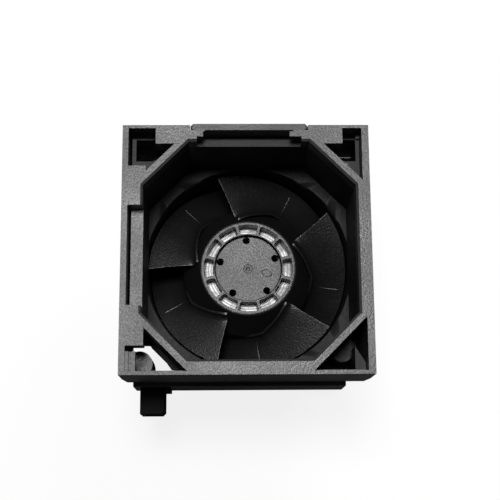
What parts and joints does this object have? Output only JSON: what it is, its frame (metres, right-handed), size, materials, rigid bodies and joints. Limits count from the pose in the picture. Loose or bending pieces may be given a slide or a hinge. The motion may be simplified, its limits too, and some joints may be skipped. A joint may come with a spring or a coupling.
{
  "type": "server fan module",
  "caption": "Hot-plug axial fan module with an octagonal intake shell, swept-blade impeller, folding pull handle and a bottom-left plug.",
  "frame": {"origin": "on the fan axis in the outlet plane, which is the face the module stands on", "axes": "+Z along the fan axis towards the intake, +Y towards the pull handle, -Y towards the plug, +X to the right seen from the intake"},
  "size_m": [0.066, 0.0764, 0.064],
  "materials": {
    "shell_plastic": "fine grained moulded surface",
    "duct_plastic": "fine grained moulded surface",
    "handle_plastic": "fine grained moulded surface",
    "frame_plastic": "glass filled moulded surface",
    "rotor_plastic": "smooth satin moulded surface",
    "yoke_steel": "zinc plated pressed steel",
    "shaft_steel": "ground steel",
    "bearing_steel": "polished bearing steel",
    "magnet_bonded": "bonded ferrite strip",
    "core_steel": "stacked silicon steel",
    "insulator_plastic": "natural nylon",
    "coil_copper": "enamelled copper winding",
    "sleeve_brass": "turned brass",
    "board_green": "solder mask",
    "chip_black": "moulded epoxy package",
    "capacitor_can": "drawn aluminium can",
    "screw_steel": "black zinc plating",
    "washer_rubber": "soft moulded rubber",
    "connector_plastic": "smooth moulded nylon",
    "contact_metal": "gold flashed contact"
  },
  "bodies": {
    "housing": {"intake_bezel": "shell_plastic", "intake_duct": "duct_plastic", "handle_pins": "shaft_steel", "fan_frame": "frame_plastic", "upper_outer_race": "bearing_steel", "lower_outer_race": "bearing_steel", "bearing_sleeve": "sleeve_brass", "stator_core": "core_steel", "lower_insulator": "insulator_plastic", "upper_insulator": "insulator_plastic", "stator_coils": "coil_copper", "circuit_board": "board_green", "driver_chip": "chip_black", "hall_sensor": "chip_black", "filter_capacitor": "capacitor_can", "fan_screws": "screw_steel", "isolating_washers": "washer_rubber", "bracket_screw": "screw_steel", "connector_bracket": "shell_plastic", "connector_housing": "connector_plastic", "connector_contacts": "contact_metal"},
    "rotor": {"impeller": "rotor_plastic", "rotor_yoke": "yoke_steel", "rotor_magnet": "magnet_bonded", "shaft": "shaft_steel", "upper_inner_race": "bearing_steel", "lower_inner_race": "bearing_steel", "preload_spring": "bearing_steel", "retaining_ring": "shaft_steel"},
    "handle": {"pull_handle": "handle_plastic"}
  },
  "joints": [
    {"name": "rotor_spin", "type": "hinge", "parent": "housing", "child": "rotor", "pos_m": [0, 0, 0], "axis": [0, 0, 1], "continuous": true},
    {"name": "handle_fold", "type": "hinge", "parent": "housing", "child": "handle", "pos_m": [0, 0.03393, 0.0454], "axis": [-1, 0, 0], "range_deg": [0, 95]}
  ]
}
